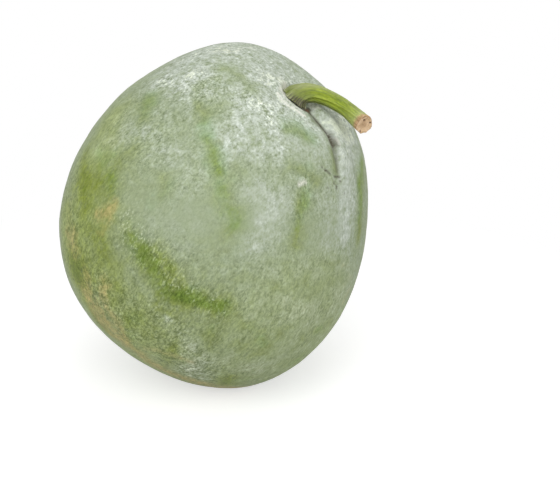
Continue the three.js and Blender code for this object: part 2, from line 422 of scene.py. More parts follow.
# Tan stains
STAINS = (
    ("blotch", ((81, 256), (85, 254.5), (88, 254)), 9, 1.0),
    ("blotch, lower end", ((86, 259), (92, 259)), 7, 0.6),
    ("far blotch", ((105, 246), (108, 241), (108, 251)), 11, 0.75),
    ("left edge", ((98, 234), (106, 239)), 9, 0.4),
    ("low blotch", ((107, 270), (117, 272), (119, 281), (125, 287)), 9, 0.8),
    ("low corner", ((112, 261), (121, 264), (128, 276)), 9, 0.7),
    ("bottom band", ((122, 262), (131, 288), (134, 310), (131, 335), (128, 355)), 15, 1.0),
    ("bottom pale", ((123, 298), (117, 308), (114, 316)), 6, 0.6),
    ("crown", ((22, 180), (28, 198)), 14, 0.3),
    ("top edge", ((38, 198), (44, 205)), 8, 0.3),
    ("right stain", ((48, 334),), 8, 0.25),
    ("ground spot", ((138, 350), (150, 20), (140, 50)), 38, 0.8),
)

# Stronger grain with white crumbs
FLECKED = (
    ("flecked band", ((82, 266), (84, 275), (84, 285), (87, 300), (87, 309)), 11, 1.0),
    ("crown powder", ((46, 219), (40, 228), (33, 228), (32, 240)), 9, 0.7),
    ("scuff", ((22, 262), (22, 272), (23, 283)), 6, 0.9),
    ("low front", ((99, 290), (101, 297), (110, 310)), 13, 0.35),
    ("bottom", ((112, 272), (118, 288)), 12, 0.4),
    ("right edge", ((20, 20), (22, 38)), 9, 0.4),
)

# Stronger grain above zero and smoother skin below it: where marks meet, they add up
COARSE = (
    ("left side", ((96, 224), (104, 236)), 26, 0.7),
    ("below", ((112, 256), (112, 280), (112, 300), (120, 320)), 30, 0.9),
    ("band", ((86, 276), (88, 300)), 12, 0.3),
    ("smooth front", ((76, 266), (67, 284), (56, 304)), 24, -0.55),
    ("smooth flank", ((51, 318), (50, 345)), 18, -0.4),
    ("right side", ((20, 22), (30, 2), (44, 357)), 16, -0.45),
    ("smooth middle", ((60, 284), (44, 300)), 20, -0.3),
    ("by the crease", ((24, 318), (18, 340)), 14, -0.4),
    ("under the stem", ((13, 6), (24, 30)), 10, -0.35),
    ("crown scuffs", ((34, 240), (29, 249), (21, 258)), 14, 0.3),
    ("right patch", ((35, 322), (46, 324)), 8, 0.5),
    ("column", ((54, 251), (60, 246)), 12, 0.4),
)

# Dirt and painted shade: dirt and painted shade in the crease, on its banks and down its tail; a painted
# shadow line under the lip; dirt in the dashes; a darker furrow line; then the darkening of the grooves and
# pits above
DIRT_AND_SHADE = (
    # dirt and painted shade in the crease's fold and on its banks
    ("crease", ((6.2, 338), (7.7, 337.9), *CREASE_BEND), 3.6, 0.85),
    ("crease's right bank", ((8.5, 347), (11.8, 348.5), (14.5, 353), (16.8, 356)), 2.8, 0.52),
    ("crease's left bank", ((8.5, 329), (11.8, 333), (14.5, 341), (17, 347.5)), 3.6, 0.5),
    ("crease shade", ((13.6, 343), (16.8, 350), (20.4, 351.5), (23.3, 350.5), (26.2, 349)), 5, 0.45),
    ("crease tail", ((20.4, 353.7), (23.3, 353), (26.2, 350.7), (29.4, 349.7)), 3.2, 0.55),
    ("other dash", ((18.6, 12.6), (20.7, 5.7)), 0.8, 0.3),
    ("furrow line", ((26.5, 12), (29.5, 10.5), (33, 9)), 1.1, 0.6),
    # painted shadow line on the outer slope of the lip's crest
    ("under the lip", ((13.7, 274), (13.5, 287), (13.2, 298), (12.8, 308)), 1.3, 0.3),
    *((name, path, width, strength) for name, path, _, _, width, strength in GROOVES_WITH_DIRT_AND_SHADE),
)

# Pale corky skin
CREAM = (
    ("lip", ((12.0, 260), (12.4, 274), (12.3, 285), (12.2, 298), (12.0, 308), (11.6, 316)), 1.1, 0.8),
    ("lip's inner side", ((9.8, 250), (10.3, 270), (10.4, 290), (10.2, 305)), 2.6, 0.55),
    ("roll by the crease", ((4.6, 32), (6.2, 16)), 4.0, 0.55),
    ("pale spot", ((36.4, 319), (35.1, 322.4)), 2.5, 0.68),
    ("branch's upper lip", ((18.7, 357), (20.7, 358.5)), 1.6, 0.5),
    ("left of the foot", ((5.6, 207), (5.8, 228), (7.5, 245)), 4.0, 0.8),
)

# Red-brown spots
RUST = (("dot by the foot", ((6.5, 333),), 1.6, 0.8),)

# The sides whose marks come from noise: middle (polar, round), and how many degrees from it the
# noise starts to fade and is gone
FAR_SIDES = (((116, 109), 68, 92), ((90, 342), 22, 42))


def painted(ways, marks):
    """How strongly the marks lie on each place, 0 to 1."""
    cover = np.zeros(len(ways))
    for _, path, width, strength in marks:
        cover = np.maximum(cover, strength * bell(skin_distance(ways, path), width))
    return cover


def added_up(ways, marks):
    """The sum of the marks on each place."""
    return sum(strength * bell(skin_distance(ways, path), width) for _, path, width, strength in marks)


def far_side(ways):
    """1 on the far sides, and 0 where the marks are placed one by one."""
    share = np.zeros(len(ways))
    for place, full, none in FAR_SIDES:
        away = angle_to(ways, direction(*place))
        share = np.maximum(share, 1 - step(away, full, none))
    return share


def write_field(mesh, name, values):
    field = mesh.attributes.new(name, "FLOAT", "POINT")
    field.data.foreach_set("value", np.asarray(values, np.float32))


def relief_of(ways):
    """The relief that the solid model has too (mm)."""
    down, across = skin_map(ways)
    return crease_relief(down, across) + furrow_relief(down, across) + lip_relief(down, across)


def growth_centre():
    """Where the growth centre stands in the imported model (mm)."""
    polar, around = np.meshgrid(np.linspace(0, 180, 91), np.linspace(0, 360, 145))
    ways = direction(polar.ravel(), around.ravel())
    laid = lay_down(settle(ways, relief_of(ways)))
    low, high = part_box("fruit")
    offset = (np.array(low) + np.array(high)) / 2 / MM - (laid.min(0) + laid.max(0)) / 2
    return np.array([offset[0], offset[1], BELLY_DROP])


CENTRE = growth_centre()


def in_place(points):
    """Growth frame points (mm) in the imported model's place (m), with the belly pressed flat."""
    return (lay_down(points) + (CENTRE[0], CENTRE[1], 0)) * MM


def link_object(name, data):
    made = bpy.data.objects.new(name, data)
    bpy.context.scene.collection.objects.link(made)
    return made


def add_piece(name, mesh, material, node):
    """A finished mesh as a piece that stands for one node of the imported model."""
    mesh.shade_smooth()
    mesh.materials.append(material)
    piece = link_object(name, mesh)
    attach(piece, "root")
    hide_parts(node)


# --- Stalk ---

STALK = {"foot": 10.5, "middle": 6.2, "end": 7.2, "flare": 3.6, "swell_from": 0.7}
STALK_RIDGES = 7
STALK_RIDGE_DEPTH = 0.09  # share of the radius
# Middle line from the seat outwards: down the crease, across it, and out along the stem axis
STALK_PATH = (
    (2, -6, 0), (2.1, -5.4, 3), (4, -2, 7.5), (8.5, 2, 11), (14.5, 5, 13.2),
    (23, 9, 14.6), (32.7, 12.6, 15), (42.8, 16, 14), (51.2, 15.9, 14.2),
)
STALK_RINGS = 150
STALK_FACETS = 168
STALK_ROOT = 0.4  # how far the foot is let into its seat, mm
STALK_FIBRES = 0.16  # height of the fine fibres, mm
STALK_KNOTS = 0.18  # height of the slow unevenness, mm
STALK_WANDER = {"swing": 0.25, "per_mm": 0.06, "twist": 0.004}  # how the ridges stray, radians
STALK_VALLEYS = 0.7  # depth of the valleys as a share of the ridges' height
FIBRE_CELLS = (6, 0.07)  # steps of the fibres' noise: round the stalk, and for each mm along it
CURVE_STEPS = 40  # traced steps between two points of the stalk's path
STALK_CUT = {"slope": 0.45, "start": 0.8, "short_side": (0, -0.93, 0.36)}  # the slanting end cut
# The foot climbs the skin on one side and is narrow under the bend: degrees round the stalk
FOOT_CLIMB = {"round": 192, "spread": 55, "share": 1.6, "by": 1.5}
FOOT_NARROWS = {"round": 50, "spread": 50, "by": 3}
SHADED_FOOT_FRONT = {"round": -45, "spread": 75, "heights": (3.6, 9.2)}  # the front under the bend, painted with shade that fades upwards
FOOT_RIBS = 31
FOOT_TOES = {"ridges": 0.1, "ribs": 0.05}  # how far the ridges and ribs stand out, share of the radius
UNDERSIDE = (0.53, 0.14, -0.84)  # straight down as the fruit lies, in the growth frame
# The cut end, from the rim inwards: share of the radius, and how far it stands out (mm)
STALK_END = ((0.985, 0.35), (0.95, 0.55), (0.88, 0.5), (0.8, 0.2), (0.66, -0.3), (0.45, -0.5), (0.2, -0.4))
# Pits in the cut end: share of the radius, degrees round the stalk, radius and depth (mm)
END_PITS = ((0.4, 230, 1.2, 1.8), (0.3, 60, 0.7, 0.7), (0.8, 40, 0.9, 0.8), (0.8, 165, 0.8, 0.8))


def stalk_line():
    """The middle line of the stalk at its ring stations, its directions there, and its length (mm)."""
    points = np.array(STALK_PATH, float) + (0, 0, SEAT["height"])
    ends = [2 * points[0] - points[1]], [2 * points[-1] - points[-2]]
    points = np.concatenate([ends[0], points, ends[1]])
    trace = []
    for p0, p1, p2, p3 in zip(points, points[1:], points[2:], points[3:]):
        gaps = [math.sqrt(np.linalg.norm(b - a)) for a, b in ((p0, p1), (p1, p2), (p2, p3))]
        leave = (p1 - p0) / gaps[0] - (p2 - p0) / (gaps[0] + gaps[1]) + (p2 - p1) / gaps[1]
        arrive = (p2 - p1) / gaps[1] - (p3 - p1) / (gaps[1] + gaps[2]) + (p3 - p2) / gaps[2]
        for t in np.linspace(0, 1, CURVE_STEPS, endpoint=False):
            h = (2 * t**3 - 3 * t**2 + 1, t**3 - 2 * t**2 + t, -2 * t**3 + 3 * t**2, t**3 - t**2)
            trace.append(h[0] * p1 + h[1] * gaps[1] * leave + h[2] * p2 + h[3] * gaps[1] * arrive)
    trace = np.array(trace + [points[-2]])
    lengths = np.concatenate([[0], np.cumsum(np.linalg.norm(np.diff(trace, axis=0), axis=1))])
    stations = np.linspace(0, lengths[-1], STALK_RINGS + 1)
    line = np.stack([np.interp(stations, lengths, trace[:, i]) for i in range(3)], -1)
    ways = np.gradient(line, axis=0)
    ways /= np.linalg.norm(ways, axis=1, keepdims=True)
    return line, ways, lengths[-1]


def carried_along(ways):
    """Two side directions for each station that turn with the line and don't twist about it."""
    side = np.array([1.0, 0, 0])
    sides = []
    for way in ways:
        side = side - (side @ way) * way
        side /= np.linalg.norm(side)
        sides.append(side)
    sides = np.array(sides)
    return sides, np.cross(ways, sides)


def facing(degrees, side):
    """1 on one side of the stalk, falling smoothly away round it."""
    return bell((degrees - side["round"] + 180) % 360 - 180, side["spread"])


def stalk_mesh():
    """The stalk with its ridges, fibres, spreading foot and dried, hollowed end."""
    profile = [(0, -1), (1, 0)] + [(1, i) for i in range(1, STALK_RINGS + 1)]
    profile += [(share, STALK_RINGS + 1 + i) for i, (share, _) in enumerate(STALK_END)]
    profile.append((0, STALK_RINGS + 1 + len(STALK_END)))
    mesh = revolved(profile, STALK_FACETS, "pumpkin_stem")
    spots = coordinates(mesh)
    share = np.hypot(spots[:, 0], spots[:, 1])
    turn = np.arctan2(spots[:, 1], spots[:, 0])
    station = np.round(spots[:, 2]).astype(int)
    ring = np.clip(station, 0, STALK_RINGS)
    line, ways, length = stalk_line()
    sides, others = carried_along(ways)
    along = ring / STALK_RINGS
    reach = along * length

    wander = STALK_WANDER["swing"] * np.sin(2 * turn + STALK_WANDER["per_mm"] * reach)
    wander += STALK_WANDER["twist"] * reach
    ridge = np.cos(STALK_RIDGES * (turn + wander))
    ridge = np.where(ridge > 0, ridge, STALK_VALLEYS * ridge)
    across, along_step = FIBRE_CELLS
    cells = np.stack([across * np.cos(turn), across * np.sin(turn), along_step * reach], -1)
    fibre = np.array([noise.fractal(Vector(cell) * 1.6, 0.6, 2.0, 3) for cell in cells])
    knots = np.array([noise.noise(Vector((0.35 * c[0], 0.35 * c[1], 3 * c[2]))) for c in cells])

    degrees = np.degrees(turn)
    climb = facing(degrees, FOOT_CLIMB)
    spread = np.exp(-reach / (STALK["flare"] * (1 + FOOT_CLIMB["share"] * climb)))
    ribs = np.cos(FOOT_RIBS * turn + 2 * np.sin(2 * turn))
    toes = 1 + spread * (FOOT_TOES["ridges"] * ridge + FOOT_TOES["ribs"] * ribs)
    foot = STALK["foot"] + FOOT_CLIMB["by"] * climb - FOOT_NARROWS["by"] * facing(degrees, FOOT_NARROWS)
    radius = STALK["middle"] + (foot - STALK["middle"]) * spread * toes
    radius += (STALK["end"] - STALK["middle"]) * step(along, STALK["swell_from"], 1)
    radius *= 1 + STALK_RIDGE_DEPTH * (0.55 + 0.45 * (1 - along)) * ridge
    radius += STALK_FIBRES * fibre + STALK_KNOTS * knots

    stand_out = np.zeros(len(spots))
    for i, (_, height) in enumerate(STALK_END):
        stand_out[station == STALK_RINGS + 1 + i] = height
    stand_out[station == STALK_RINGS + 1 + len(STALK_END)] = STALK_END[-1][1]
    on_face = station > STALK_RINGS
    x, y = share * np.cos(turn), share * np.sin(turn)
    pits = np.zeros(len(spots))
    for far, degrees_round, width, depth in END_PITS:
        where = math.radians(degrees_round)
        gap = radius * np.hypot(x - far * math.cos(where), y - far * math.sin(where))
        pit = np.where(on_face, bell(gap, width), 0)
        stand_out -= depth * pit
        pits = np.maximum(pits, pit)
    out = sides[ring] * (radius * x)[:, None] + others[ring] * (radius * y)[:, None]
    cut = STALK_CUT["slope"] * step(along, STALK_CUT["start"], 1) * (out @ STALK_CUT["short_side"])
    points = line[ring] + out + ways[ring] * (stand_out - cut)[:, None]
    points[:, 2] = np.maximum(points[:, 2], SEAT["height"] - STALK_ROOT)
    move_to(mesh, in_place(points))

    # painted shade: the foot's front under the bend is darkened from its root up to these heights
    low = 1 - step(points[:, 2] - SEAT["height"], *SHADED_FOOT_FRONT["heights"])
    for name, values in {
        "along": along,
        "ridge": ridge,
        "pit": pits,
        "shaded": facing(degrees, SHADED_FOOT_FRONT) * low * (0.7 + 0.3 * ribs),
        # painted shade and highlight: how far each place faces down, so the underside is painted darker and
        # the top paler
        "under": out @ UNDERSIDE / np.maximum(radius * share, 1),
        "inside": np.where(on_face, 1 - share, 0),
    }.items():
        write_field(mesh, name, values)
    fibres = mesh.attributes.new("fibres", "FLOAT_VECTOR", "POINT")
    cells[:, :2] *= share[:, None]
    fibres.data.foreach_set("vector", cells.astype(np.float32).ravel())
    return mesh


# --- Materials ---


def tint(red, green, blue):
    """A colour given as it looks on a screen (0 to 255), as the linear values that a shader takes."""
    shares = [channel / 255 for channel in (red, green, blue)]
    return tuple(c / 12.92 if c <= 0.04045 else ((c + 0.055) / 1.055) ** 2.4 for c in shares)


class Number:
    """A number worked out by nodes, which can be added, subtracted and multiplied."""

    def __init__(self, graph, socket):
        self.graph, self.socket = graph, socket

    def __add__(self, other):
        return self.graph.math("ADD", self, other)

    def __sub__(self, other):
        return self.graph.math("SUBTRACT", self, other)

    def __mul__(self, other):
        return self.graph.math("MULTIPLY", self, other)

    __radd__, __rmul__ = __add__, __mul__


class Graph:
    """The nodes of one material or world, made and joined by short calls."""

    def __init__(self, owner):
        owner.use_nodes = True
        self.tree = owner.node_tree
        self.tree.nodes.clear()

    def node(self, kind, inputs=None, **settings):
        made = self.tree.nodes.new("ShaderNode" + kind)
        for key, value in settings.items():
            setattr(made, key, value)
        for key, value in (inputs or {}).items():
            value = value.socket if isinstance(value, Number) else value
            if isinstance(value, bpy.types.NodeSocket):
                self.tree.links.new(value, made.inputs[key])
            else:
                made.inputs[key].default_value = value
        return made

    def field(self, name, output="Fac"):
        return Number(self, self.node("Attribute", attribute_name=name).outputs[output])

    def math(self, operation, *values):
        made = self.node("Math", dict(enumerate(values)), operation=operation)
        return Number(self, made.outputs[0])

    def vector(self, operation, *values):
        made = self.node("VectorMath", dict(enumerate(values)), operation=operation)
        return made.outputs["Vector"]

    def noise(self, where, size, octaves, fading, distortion=0.0):
        """Noise about zero, from -1 to 1, whose largest lumps are that size."""
        inputs = {
            "Vector": where, "Scale": 1 / size, "Detail": octaves - 1,
            "Roughness": fading, "Distortion": distortion,
        }
        made = self.node("TexNoise", inputs)
        return self.math("MULTIPLY_ADD", made.outputs["Fac"], 2.0, -1.0)

    def ease(self, value, low, high, start=0.0, end=1.0):
        """The start value up to low, the end value from high, and smooth between them."""
        inputs = {"Value": value, "From Min": low, "From Max": high, "To Min": start, "To Max": end}
        made = self.node("MapRange", inputs, interpolation_type="SMOOTHSTEP")
        return Number(self, made.outputs[0])

    def mix(self, factor, first, second, blend="MIX"):
        """Two colours mixed, each a node's output or its red, green and blue."""
        inputs = {0: factor}
        for socket, colour in ((6, first), (7, second)):
            made_by_node = isinstance(colour, bpy.types.NodeSocket)
            inputs[socket] = colour if made_by_node else (*colour, 1.0)
        made = self.node("Mix", inputs, data_type="RGBA", blend_type=blend)
        return made.outputs[2]

    def layered(self, colour, *layers):
        """A colour under layers of (cover from 0 to 1, colour), the last one on top."""
        for cover, layer in layers:
            colour = self.mix(cover, colour, layer)
        return colour

    def tinted(self, colour, by):
        return self.mix(1.0, colour, by, "MULTIPLY")

    def ramp(self, value, stops):
        """A colour that runs through (value, colour) stops, in rising order."""
        low, high = stops[0][0], stops[-1][0]
        inputs = {"Value": value, "From Min": low, "From Max": high}
        share = self.node("MapRange", inputs).outputs[0]
        made = self.node("ValToRGB", {"Fac": share})
        elements = made.color_ramp.elements
        while len(elements) < len(stops):
            elements.new(0.5)
        for element, (at, colour) in zip(elements, stops):
            element.position = (at - low) / (high - low)
            element.color = (*colour, 1.0)
        return made.outputs["Color"]

    def finish(self, surface):
        self.node("OutputMaterial", {"Surface": surface})

    def finish_skin(self, colour, roughness, shine, bumps, strength, distance):
        """A skin of that colour with fine bumps of about that height (m)."""
        bump = self.node("Bump", {"Height": bumps, "Strength": strength, "Distance": distance})
        inputs = {
            "Base Color": colour, "Roughness": roughness, "Normal": bump.outputs[0],
            "Specular IOR Level": shine,
        }
        self.finish(self.node("BsdfPrincipled", inputs).outputs[0])


def growth_coordinates(graph):
    """Object coordinates turned into the growth frame, in mm."""
    where = graph.node("TexCoord").outputs["Object"]
    inputs = {
        "Vector": where, "Location": Vector(CENTRE) * MM,
        "Rotation": growth_turn().to_euler(), "Scale": (MM, MM, MM),
    }
    return graph.node("Mapping", inputs, vector_type="TEXTURE").outputs[0]


# Noises of the skin as (size of the largest lumps mm, octaves, fading)
CLOUDS = (40, 4, 0.8)
PATCHES = (17, 4, 0.7)
MOTTLE = (8, 3, 0.85)
SPECKLE = (4.2, 3, 0.8)
GRAIN = (1.7, 2, 0.75)
FINE_CREASES = (4.2, 2, 0.6)
FAR_CLOUDS = (52, 3, 0.7)
FAR_STAINS = (34, 2, 0.6)
SWIRL = {"size": 22, "reach": 16}  # how the broad noises are pulled about, mm
GRAIN_STRETCH = (1, 1, 0.5)  # the grain is twice as long down the fruit
# The colours and the thickness of bloom where each shows
BLOOM_LEVELS = {
    "deep_skin": -0.25, "bare_skin": 0.0, "thin_bloom": 0.42, "thick_bloom": 1.0, "white_wax": 1.35,
}
LEAST_CONTRAST = 0.35
RIND_SHINE = 0.14
STRONGEST_SHADING = 0.5
SHADING = {"Red": 1.0, "Green": 0.92, "Blue": 1.15}  # the grain's strength, so dark grains are greener


def rind_material(look):
    """Green skin under an uneven waxy bloom, with stains, flecks, and grooves darkened by dirt and painted
    shade.
    """
    material = bpy.data.materials.new("bloomed_rind")
    g = Graph(material)
    skin_place = growth_coordinates(g)
    drift = g.node("TexNoise", {"Vector": skin_place, "Scale": 1 / SWIRL["size"], "Detail": 2.0})
    swirl = g.vector("SUBTRACT", drift.outputs["Color"], (0.5, 0.5, 0.5))
    swirl = g.vector("MULTIPLY", swirl, (SWIRL["reach"],) * 3)
    loose = g.vector("ADD", skin_place, swirl)
    strokes = g.vector("MULTIPLY", skin_place, GRAIN_STRETCH)

    clouds = g.noise(loose, *CLOUDS)
    patchy = g.noise(loose, *PATCHES)
    mottle = g.noise(loose, *MOTTLE)
    speckle = g.noise(strokes, *SPECKLE)
    grain = g.noise(strokes, *GRAIN, distortion=0.5)
    creases = g.noise(skin_place, *FINE_CREASES, distortion=1.2)
    creases = g.ease(g.math("ABSOLUTE", creases), 0.12, 0.0)
    far = g.field("far_side")
    rubbed = g.noise(loose, *FAR_CLOUDS)
    flecked = g.field("flecked")
    contrast = g.ease(clouds, -0.35, 0.35, 0.75, 1.25) + g.field("coarse") + flecked * 0.5
    contrast = g.math("MAXIMUM", contrast, LEAST_CONTRAST)

    # how thick the bloom lies, from bare skin to white wax
    broken = patchy * 0.6 + mottle * 1.1 + speckle * 0.9 + 1.0
    level = look.bloom_cover + g.field("bloom") * broken + clouds * 0.22
    level = level + far * (rubbed * 0.6 + patchy * 0.35) + mottle * 0.24 * contrast
    colour = g.ramp(level, [(at, getattr(look, name)) for name, at in BLOOM_LEVELS.items()])

    # fresher green, yellowed skin and tan stains
    fresh = g.field("fresh") + patchy * 0.7 + mottle * 0.4
    fresh = g.ease(fresh + far * g.ease(rubbed, 0.0, -0.4), 0.1, 1.2)
    colour = g.mix(fresh * 0.8, colour, g.tinted(colour, look.fresh_tint))
    yellowed = (g.field("yellowed") + far * 0.4) * (1.0 + patchy * 0.6)
    colour = g.mix(yellowed, colour, g.tinted(colour, look.yellow_tint))
    stained = g.field("stained") + far * g.ease(g.noise(loose, *FAR_STAINS), 0.2, 0.5)
    stained = stained * (mottle * 0.9 + patchy * 0.4 + speckle * 0.7 + 1.0)
    colour = g.mix(g.ease(stained, 0.15, 1.3) * 0.75, colour, look.stain)

    # grain, stronger where the skin is coarse or flecked, with white crumbs
    shading = (grain * 0.5 + speckle * 0.45 - creases * 0.14) * contrast
    shading = g.math("MAXIMUM", shading, -STRONGEST_SHADING)
    shading = g.math("MINIMUM", shading, STRONGEST_SHADING)
    shares = {name: g.math("MULTIPLY_ADD", shading, share, 1.0) for name, share in SHADING.items()}
    colour = g.tinted(colour, g.node("CombineColor", shares).outputs[0])
    light = g.ease(grain, 0.15, 0.45) * g.ease(level, -0.3, 0.6)
    colour = g.layered(
        colour,
        (light * flecked * 0.8, look.fleck),
        (g.ease(g.field("cream") * (1.0 + grain * 0.7), 0.1, 0.9), look.cream),
        # dirt, and painted shade in the crease, the recess round the stalk's foot and under the lip
        (g.ease(g.field("dirt_and_shade") * (1.0 + grain * 0.5), 0.05, 1.0), look.dirt_and_painted_shade),
        (g.field("rust"), look.rust),
    )

    bumps = grain * 0.5 + speckle * 0.6 - creases * 0.25
    roughness = g.ease(g.ease(level, 0, 1), 0, 1, 0.5, 0.78)
    g.finish_skin(colour, roughness, RIND_SHINE, bumps, 0.5, look.grain_height)
    return material


FIBRE_BUMPS = 0.0004  # height of the stalk's finest bumps, m
STALK_SHINE = 0.4


def stalk_material(look):
    """Ridged green fibres, paler toes at the foot and a dried tan tip with dark cracks, with painted shade
    on the underside and the foot's front and a painted highlight along the top.
    """
    material = bpy.data.materials.new("fibrous_stalk")
    g = Graph(material)
    fibres = g.field("fibres", "Vector")
    along = g.field("along")
    ridge = g.field("ridge")
    streaks = g.noise(fibres, 1.1, 4, 0.75)
    hairlines = g.noise(fibres, 0.32, 2, 0.7)
    blots = g.noise(growth_coordinates(g), 5, 3, 0.6)

    crumbs = g.noise(growth_coordinates(g), 2.2, 3, 0.8)

    # how far each place faces down, for painted shade on the underside and a painted highlight on the top
    side = g.field("under") + streaks * 0.3
    # paler towards the dried tip, and a painted highlight on the upward-facing top
    paler = g.ease(along, 0.6, 1.02, 0, 0.5) + g.ease(side, -0.7, -1.1, 0, 0.45)
    toe = g.ease(along + streaks * 0.03, 0.06, 0.0) * g.ease(ridge, -0.6, 0.9)
    green = g.layered(
        look.deep_green,
        (g.ease(streaks, -0.35, 0.35), look.bright_green),
        (g.ease(ridge + streaks, 0.5, 1.5, 0, 0.5), look.ridge_green),
        # painted shade on the stalk's downward-facing side
        (g.ease(side, 0.1, 0.9, 0, 0.6), look.under),
        (g.ease(along + streaks * 0.06, 0.34, 0.06) * 0.75, look.foot),
        # the paler tip, and the painted highlight along the top
        (paler, look.pale_tip_and_lit_top),
        (toe * 0.8, look.toe),
        # painted shade on the foot's front, under the stalk's bend
        (g.ease(g.field("shaded"), 0.1, 0.7), look.painted_foot_shade),
    )

    edge = along + streaks * 0.06 + blots * 0.03
    dried = g.ease(edge, 1 - look.dried_share - 0.05, 1 - look.dried_share + 0.03)
    tip = g.mix(g.ease(streaks + blots, -0.4, 0.5), look.tip_shade, look.tip)
    inside = g.field("inside")
    face = g.mix(g.ease(blots + crumbs * 1.5, -0.6, 0.5), look.tip, look.face)
    rim = g.ease(g.math("ABSOLUTE", along + inside - 1.02), 0.03, 0.0)
    torn = g.ease(blots + crumbs * 0.8, -0.1, 0.3)
    colour = g.layered(
        green,
        (dried, tip),
        (dried * g.ease(hairlines, 0.15, 0.6) * 0.5, look.tip_shade),
        (g.ease(inside, 0.02, 0.1), face),
        (g.ease(inside + crumbs * 0.6, 0.35, 0.9) * 0.6, look.tip_shade),
        (rim * torn * 0.85, look.crack),
        (g.ease(g.field("pit"), 0.2, 0.8), look.crack),
    )
    shading = 1.0 + hairlines * 0.5 + crumbs * 0.25
    shares = dict.fromkeys(("Red", "Green", "Blue"), shading)
    colour = g.tinted(colour, g.node("CombineColor", shares).outputs[0])

    bumps = streaks * 0.6 + hairlines * 0.4
    g.finish_skin(colour, g.ease(dried, 0, 1, 0.48, 0.85), STALK_SHINE, bumps, 0.6, FIBRE_BUMPS)
    return material


def floor_material(look):
    """Pale floor that fades to plain white for the camera and keeps the object's soft shadow."""
    material = bpy.data.materials.new("pale_floor")
    g = Graph(material)
    plain = g.node("BsdfDiffuse", {"Color": (*look.floor, 1.0)}).outputs[0]
    glow = g.node("Emission", {"Strength": look.floor_glow}).outputs[0]
    lit = g.node("BsdfDiffuse", {"Color": (*FLOOR_SHADE, 1.0)}).outputs[0]
    near = g.node("AddShader", {0: lit, 1: glow}).outputs[0]
    white = g.node("Emission", {"Strength": 1.0}).outputs[0]
    where = g.node("TexCoord").outputs["Object"]
    distance = g.node("VectorMath", {0: where}, operation="LENGTH").outputs["Value"]
    fade = g.ease(distance, *FLOOR_FADE)
    seen = g.node("MixShader", {0: fade, 1: near, 2: white}).outputs[0]
    g.finish(g.node("MixShader", {0: seen_by_eye(g), 1: plain, 2: seen}).outputs[0])
    return material


def seen_by_eye(g):
    """1 for what the camera sees, in itself or in and through a shiny or clear surface."""
    rays = g.node("LightPath").outputs
    seen = g.math("MAXIMUM", rays["Is Camera Ray"], rays["Is Glossy Ray"])
    return g.math("MAXIMUM", seen, rays["Is Transmission Ray"])


# --- Settings and operators ---


def amount(name, description, default, **more):
    return bpy.props.FloatProperty(name=name, description=description, default=default, **more)


def tone(name, description, red, green, blue):
    return bpy.props.FloatVectorProperty(
        name=name, description=description, default=tint(red, green, blue),
        subtype="COLOR", size=3, min=0, max=1,
    )


class PumpkinRindSettings(bpy.types.PropertyGroup):
    """Sizes and colours of the rind."""

    bloom_cover: amount(
        "Bloom cover", "Share of the skin that the bloom covers", 0.43, min=0, max=1, subtype="FACTOR",
    )
    grain_height: amount(
        "Grain height", "Height of the fine grain of the bloom", 0.0004,
        min=0, max=0.002, unit="LENGTH", precision=5,
    )
    white_wax: tone("White wax", "Where the wax lies thickest", 216, 223, 204)
    thick_bloom: tone("Thick bloom", "Where the waxy bloom is thick", 193, 201, 189)
    thin_bloom: tone("Thin bloom", "Where the waxy bloom is thin", 155, 167, 136)
    bare_skin: tone("Bare skin", "Green skin with no bloom", 131, 144, 80)
    deep_skin: tone("Deep skin", "Bare skin at its darkest", 110, 126, 56)
    fresh_tint: tone("Fresh tint", "What the fresher green skin multiplies by", 236, 254, 236)
    yellow_tint: tone("Yellow tint", "What the yellowed skin multiplies by", 252, 254, 202)
    stain: tone("Stain", "Tan stains from the ground", 182, 167, 110)
    fleck: tone("Flecks", "Crumbs of wax on the skin", 222, 230, 202)
    # also painted shade in the crease, the recess round the stalk's foot and under the lip
    dirt_and_painted_shade: tone("Soil", "Dirt in the grooves", 84, 80, 66)
    rust: tone("Rust", "The red-brown dot by the stem", 112, 66, 50)
    cream: tone("Cream", "Pale corky skin round the stem", 228, 228, 216)


class PumpkinStalkSettings(bpy.types.PropertyGroup):
    """Sizes and colours of the stalk."""

    dried_share: amount(
        "Dried share", "Share of the stalk's length that has dried to tan", 0.035,
        min=0, max=1, subtype="FACTOR",
    )
    bright_green: tone("Bright green", "The fresh fibres", 150, 168, 38)
    deep_green: tone("Deep green", "Between the fibres", 104, 122, 26)
    ridge_green: tone("Ridges", "The tops of the ridges", 182, 192, 92)
    # painted shade on the stalk's downward-facing side
    under: tone("Underside", "The darker underside", 116, 124, 56)
    # the paler dried tip, and a painted highlight along the stalk's top
    pale_tip_and_lit_top: tone("Top edge", "The paler top and tip", 184, 190, 134)
    foot: tone("Foot", "The olive foot", 114, 124, 62)
    toe: tone("Toes", "The pale toes on the seat", 190, 196, 156)
    # painted shade on the foot's front under the stalk's bend
    painted_foot_shade: tone("Foot earth", "The shaded, earthy front of the foot", 74, 70, 48)
    tip: tone("Tip", "The dried tip", 206, 174, 134)
    tip_shade: tone("Tip shade", "Darker parts of the dried tip", 158, 124, 90)
    face: tone("Cut face", "The cut end", 230, 200, 164)
    crack: tone("Cracks", "Cracks, pits and the dark rim", 78, 52, 36)


class PumpkinStageSettings(bpy.types.PropertyGroup):
    """The camera, the lamps and the floor."""

    lens: amount("Lens", "Focal length on a 36 mm sensor", 100, min=10, unit="CAMERA")
    distance: amount(
        "Distance", "From the camera to the middle of the view", 1.2756, min=0.5, unit="LENGTH",
    )
    height: amount("Height angle", "How far the camera looks down", math.radians(20), subtype="ANGLE")
    aim_right: amount(
        "Aim right", "Middle of the view, right of the growth centre", 0.0556, unit="LENGTH", precision=4,
    )
    aim_up: amount(
        "Aim up", "Middle of the view, above the growth centre", -0.0129, unit="LENGTH", precision=4,
    )
    sky: amount("Sky light", "Strength of the even light from all round", 0.36, min=0)
    floor: tone("Floor", "What the floor throws back", 218, 218, 218)
    floor_glow: amount("Floor whiteness", "Light added to the floor for the camera", 0.6, min=0)


